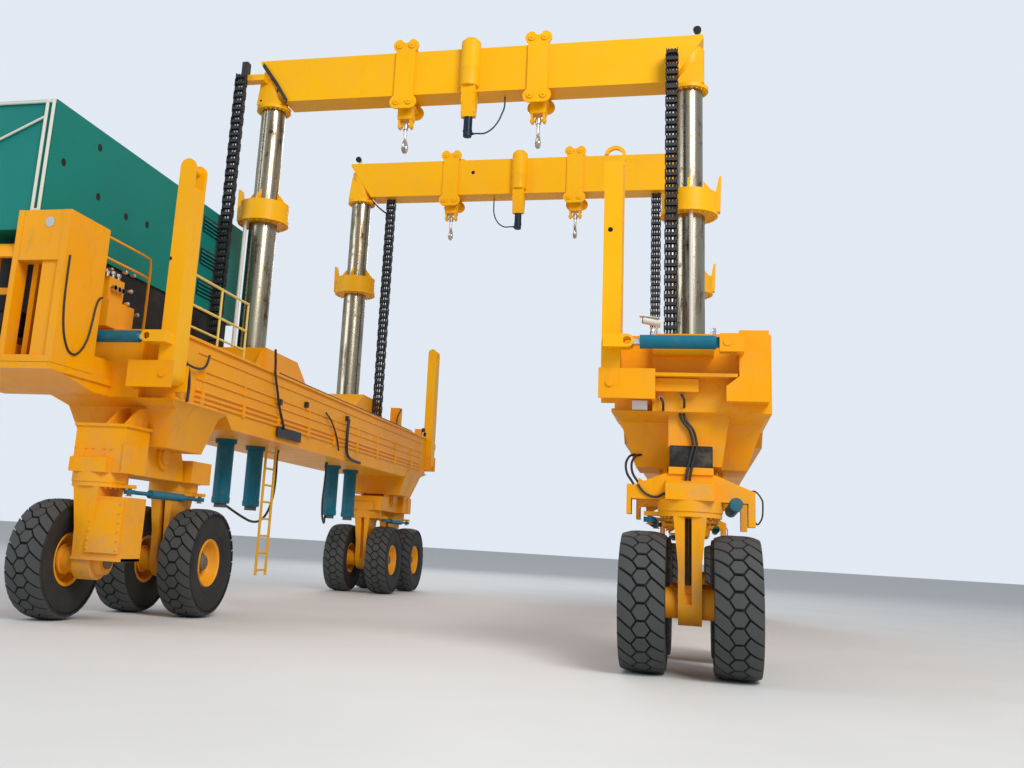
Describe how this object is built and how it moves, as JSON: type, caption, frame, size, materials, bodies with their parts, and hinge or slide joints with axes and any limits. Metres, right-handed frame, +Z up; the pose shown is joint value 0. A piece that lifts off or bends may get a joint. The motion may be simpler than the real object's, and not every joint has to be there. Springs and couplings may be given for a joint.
{
  "type": "straddle carrier",
  "caption": "Gantry carrier on steered twin tyres whose two beams ride on telescopic columns and lift a load between its side frames",
  "frame": {"origin": "on the ground under the middle of the machine's overall box", "axes": "+X across the machine to its right, +Y along the travel away from the power pack's end, +Z up"},
  "size_m": [11.02, 16.9599, 10.506],
  "materials": {
    "yellow_paint": "semi-gloss machine enamel",
    "teal_paint": "semi-gloss enamel",
    "chromed_steel": "ground and chromed",
    "black_paint": "satin black",
    "black_chain": "moulded black plastic",
    "tyre_rubber": "dusty tread",
    "white_paint": "white enamel"
  },
  "bodies": {
    "chassis": {"side_frame_left": "yellow_paint", "side_frame_right": "yellow_paint", "bogie_frames": "yellow_paint", "lift_cylinders": "teal_paint", "power_pack": "teal_paint", "tank_base": "black_paint", "engine_block": "black_paint", "pump_bay": "yellow_paint", "walkways": "yellow_paint", "cameras": "white_paint", "drag_chains_front": "black_chain", "drag_chains_rear": "black_chain"},
    "beam_front": {"beam_front": "yellow_paint", "upper_stages_front": "chromed_steel", "hook_sets_front": "yellow_paint"},
    "stage_front": {"lower_stages_front": "chromed_steel", "collars_front": "yellow_paint"},
    "beam_rear": {"beam_rear": "yellow_paint", "upper_stages_rear": "chromed_steel", "hook_sets_rear": "yellow_paint"},
    "stage_rear": {"lower_stages_rear": "chromed_steel", "collars_rear": "yellow_paint"},
    "steer_fl_a": {"steer_leg_fl_a": "yellow_paint"},
    "wheels_fl_a": {"wheels_fl_a": "tyre_rubber"},
    "steer_fl_b": {"steer_leg_fl_b": "yellow_paint"},
    "wheels_fl_b": {"wheels_fl_b": "tyre_rubber"},
    "link_fl": {"steer_link_fl": "teal_paint"},
    "steer_fr_a": {"steer_leg_fr_a": "yellow_paint"},
    "wheels_fr_a": {"wheels_fr_a": "tyre_rubber"},
    "steer_fr_b": {"steer_leg_fr_b": "yellow_paint"},
    "wheels_fr_b": {"wheels_fr_b": "tyre_rubber"},
    "link_fr": {"steer_link_fr": "teal_paint"},
    "steer_rl_a": {"steer_leg_rl_a": "yellow_paint"},
    "wheels_rl_a": {"wheels_rl_a": "tyre_rubber"},
    "steer_rl_b": {"steer_leg_rl_b": "yellow_paint"},
    "wheels_rl_b": {"wheels_rl_b": "tyre_rubber"},
    "link_rl": {"steer_link_rl": "teal_paint"},
    "steer_rr_a": {"steer_leg_rr_a": "yellow_paint"},
    "wheels_rr_a": {"wheels_rr_a": "tyre_rubber"},
    "steer_rr_b": {"steer_leg_rr_b": "yellow_paint"},
    "wheels_rr_b": {"wheels_rr_b": "tyre_rubber"},
    "link_rr": {"steer_link_rr": "teal_paint"},
    "tie_arm_fl": {"tie_arm_fl": "yellow_paint"},
    "arm_cylinder_fl": {"arm_cylinder_fl": "teal_paint"},
    "arm_rod_fl": {"arm_rod_fl": "chromed_steel"},
    "tie_arm_fr": {"tie_arm_fr": "yellow_paint"},
    "arm_cylinder_fr": {"arm_cylinder_fr": "teal_paint"},
    "arm_rod_fr": {"arm_rod_fr": "chromed_steel"},
    "tie_arm_rl": {"tie_arm_rl": "yellow_paint"},
    "arm_cylinder_rl": {"arm_cylinder_rl": "teal_paint"},
    "arm_rod_rl": {"arm_rod_rl": "chromed_steel"},
    "tie_arm_rr": {"tie_arm_rr": "yellow_paint"},
    "arm_cylinder_rr": {"arm_cylinder_rr": "teal_paint"},
    "arm_rod_rr": {"arm_rod_rr": "chromed_steel"}
  },
  "joints": [
    {"name": "lift_front", "type": "slide", "parent": "chassis", "child": "beam_front", "axis": [0, 0, 1], "range_m": [-2.4, 0], "deforming": ["drag_chains_front"]},
    {"name": "stage_slide_front", "type": "slide", "parent": "chassis", "child": "stage_front", "axis": [0, 0, 1], "range_m": [-1.2, 0]},
    {"name": "lift_rear", "type": "slide", "parent": "chassis", "child": "beam_rear", "axis": [0, 0, 1], "range_m": [-2.4, 0], "deforming": ["drag_chains_rear"]},
    {"name": "stage_slide_rear", "type": "slide", "parent": "chassis", "child": "stage_rear", "axis": [0, 0, 1], "range_m": [-1.2, 0]},
    {"name": "steer_fl_a", "type": "hinge", "parent": "chassis", "child": "steer_fl_a", "pos_m": [-3.38, -6.93, 0.81], "axis": [0, 0, 1], "range_deg": [-30, 30]},
    {"name": "spin_fl_a", "type": "hinge", "parent": "steer_fl_a", "child": "wheels_fl_a", "pos_m": [-3.38, -6.93, 0.81], "axis": [1, 0, 0], "continuous": true},
    {"name": "steer_fl_b", "type": "hinge", "parent": "chassis", "child": "steer_fl_b", "pos_m": [-3.38, -4.78, 0.81], "axis": [0, 0, 1], "range_deg": [-30, 30]},
    {"name": "spin_fl_b", "type": "hinge", "parent": "steer_fl_b", "child": "wheels_fl_b", "pos_m": [-3.38, -4.78, 0.81], "axis": [1, 0, 0], "continuous": true},
    {"name": "link_fl", "type": "hinge", "parent": "steer_fl_a", "child": "link_fl", "pos_m": [-2.91, -6.93, 1.76], "axis": [0, 0, 1], "range_deg": [-30, 30]},
    {"name": "steer_fr_a", "type": "hinge", "parent": "chassis", "child": "steer_fr_a", "pos_m": [4.56, -6.93, 0.81], "axis": [0, 0, 1], "range_deg": [-30, 30]},
    {"name": "spin_fr_a", "type": "hinge", "parent": "steer_fr_a", "child": "wheels_fr_a", "pos_m": [4.56, -6.93, 0.81], "axis": [1, 0, 0], "continuous": true},
    {"name": "steer_fr_b", "type": "hinge", "parent": "chassis", "child": "steer_fr_b", "pos_m": [4.56, -4.78, 0.81], "axis": [0, 0, 1], "range_deg": [-30, 30]},
    {"name": "spin_fr_b", "type": "hinge", "parent": "steer_fr_b", "child": "wheels_fr_b", "pos_m": [4.56, -4.78, 0.81], "axis": [1, 0, 0], "continuous": true},
    {"name": "link_fr", "type": "hinge", "parent": "steer_fr_a", "child": "link_fr", "pos_m": [4.09, -6.93, 1.76], "axis": [0, 0, 1], "range_deg": [-30, 30]},
    {"name": "steer_rl_a", "type": "hinge", "parent": "chassis", "child": "steer_rl_a", "pos_m": [-3.38, 7.67, 0.81], "axis": [0, 0, 1], "range_deg": [-30, 30]},
    {"name": "spin_rl_a", "type": "hinge", "parent": "steer_rl_a", "child": "wheels_rl_a", "pos_m": [-3.38, 7.67, 0.81], "axis": [1, 0, 0], "continuous": true},
    {"name": "steer_rl_b", "type": "hinge", "parent": "chassis", "child": "steer_rl_b", "pos_m": [-3.38, 5.52, 0.81], "axis": [0, 0, 1], "range_deg": [-30, 30]},
    {"name": "spin_rl_b", "type": "hinge", "parent": "steer_rl_b", "child": "wheels_rl_b", "pos_m": [-3.38, 5.52, 0.81], "axis": [1, 0, 0], "continuous": true},
    {"name": "link_rl", "type": "hinge", "parent": "steer_rl_a", "child": "link_rl", "pos_m": [-2.91, 7.67, 1.76], "axis": [0, 0, 1], "range_deg": [-30, 30]},
    {"name": "steer_rr_a", "type": "hinge", "parent": "chassis", "child": "steer_rr_a", "pos_m": [4.56, 7.67, 0.81], "axis": [0, 0, 1], "range_deg": [-30, 30]},
    {"name": "spin_rr_a", "type": "hinge", "parent": "steer_rr_a", "child": "wheels_rr_a", "pos_m": [4.56, 7.67, 0.81], "axis": [1, 0, 0], "continuous": true},
    {"name": "steer_rr_b", "type": "hinge", "parent": "chassis", "child": "steer_rr_b", "pos_m": [4.56, 5.52, 0.81], "axis": [0, 0, 1], "range_deg": [-30, 30]},
    {"name": "spin_rr_b", "type": "hinge", "parent": "steer_rr_b", "child": "wheels_rr_b", "pos_m": [4.56, 5.52, 0.81], "axis": [1, 0, 0], "continuous": true},
    {"name": "link_rr", "type": "hinge", "parent": "steer_rr_a", "child": "link_rr", "pos_m": [4.09, 7.67, 1.76], "axis": [0, 0, 1], "range_deg": [-30, 30]},
    {"name": "arm_swing_fl", "type": "hinge", "parent": "chassis", "child": "tie_arm_fl", "pos_m": [-2.43, -7.03, 3.36], "axis": [0, 1, 0], "range_deg": [0, 90]},
    {"name": "barrel_swing_fl", "type": "hinge", "parent": "chassis", "child": "arm_cylinder_fl", "pos_m": [-3.81, -7.36, 3.85], "axis": [0, 1, 0], "range_deg": [0, 8.62]},
    {"name": "rod_slide_fl", "type": "slide", "parent": "arm_cylinder_fl", "child": "arm_rod_fl", "axis": [1, 0, 0], "range_m": [0, 0.7228]},
    {"name": "arm_swing_fr", "type": "hinge", "parent": "chassis", "child": "tie_arm_fr", "pos_m": [3.61, -7.03, 3.36], "axis": [0, -1, 0], "range_deg": [0, 90]},
    {"name": "barrel_swing_fr", "type": "hinge", "parent": "chassis", "child": "arm_cylinder_fr", "pos_m": [4.99, -7.36, 3.85], "axis": [0, -1, 0], "range_deg": [0, 8.62]},
    {"name": "rod_slide_fr", "type": "slide", "parent": "arm_cylinder_fr", "child": "arm_rod_fr", "axis": [-1, 0, 0], "range_m": [0, 0.7228]},
    {"name": "arm_swing_rl", "type": "hinge", "parent": "chassis", "child": "tie_arm_rl", "pos_m": [-2.43, 7.77, 3.36], "axis": [0, 1, 0], "range_deg": [0, 90]},
    {"name": "barrel_swing_rl", "type": "hinge", "parent": "chassis", "child": "arm_cylinder_rl", "pos_m": [-3.81, 8.1, 3.85], "axis": [0, 1, 0], "range_deg": [0, 8.62]},
    {"name": "rod_slide_rl", "type": "slide", "parent": "arm_cylinder_rl", "child": "arm_rod_rl", "axis": [1, 0, 0], "range_m": [0, 0.7228]},
    {"name": "arm_swing_rr", "type": "hinge", "parent": "chassis", "child": "tie_arm_rr", "pos_m": [3.61, 7.77, 3.36], "axis": [0, -1, 0], "range_deg": [0, 90]},
    {"name": "barrel_swing_rr", "type": "hinge", "parent": "chassis", "child": "arm_cylinder_rr", "pos_m": [4.99, 8.1, 3.85], "axis": [0, -1, 0], "range_deg": [0, 8.62]},
    {"name": "rod_slide_rr", "type": "slide", "parent": "arm_cylinder_rr", "child": "arm_rod_rr", "axis": [-1, 0, 0], "range_m": [0, 0.7228]}
  ],
  "couplings": [
    {"joint": "stage_slide_front", "follows": "lift_front", "ratio": 0.5},
    {"joint": "stage_slide_rear", "follows": "lift_rear", "ratio": 0.5},
    {"joint": "steer_fl_b", "follows": "steer_fl_a", "ratio": 1},
    {"joint": "link_fl", "follows": "steer_fl_a", "ratio": -1},
    {"joint": "steer_fr_b", "follows": "steer_fr_a", "ratio": 1},
    {"joint": "link_fr", "follows": "steer_fr_a", "ratio": -1},
    {"joint": "steer_rl_b", "follows": "steer_rl_a", "ratio": 1},
    {"joint": "link_rl", "follows": "steer_rl_a", "ratio": -1},
    {"joint": "steer_rr_b", "follows": "steer_rr_a", "ratio": 1},
    {"joint": "link_rr", "follows": "steer_rr_a", "ratio": -1},
    {"joint": "barrel_swing_fl", "follows": "arm_swing_fl", "ratio": 0.09462},
    {"joint": "rod_slide_fl", "follows": "arm_swing_fl", "m_per_rad": 0.45891},
    {"joint": "barrel_swing_fr", "follows": "arm_swing_fr", "ratio": 0.09462},
    {"joint": "rod_slide_fr", "follows": "arm_swing_fr", "m_per_rad": 0.45891},
    {"joint": "barrel_swing_rl", "follows": "arm_swing_rl", "ratio": 0.09462},
    {"joint": "rod_slide_rl", "follows": "arm_swing_rl", "m_per_rad": 0.45891},
    {"joint": "barrel_swing_rr", "follows": "arm_swing_rr", "ratio": 0.09462},
    {"joint": "rod_slide_rr", "follows": "arm_swing_rr", "m_per_rad": 0.45891}
  ]
}
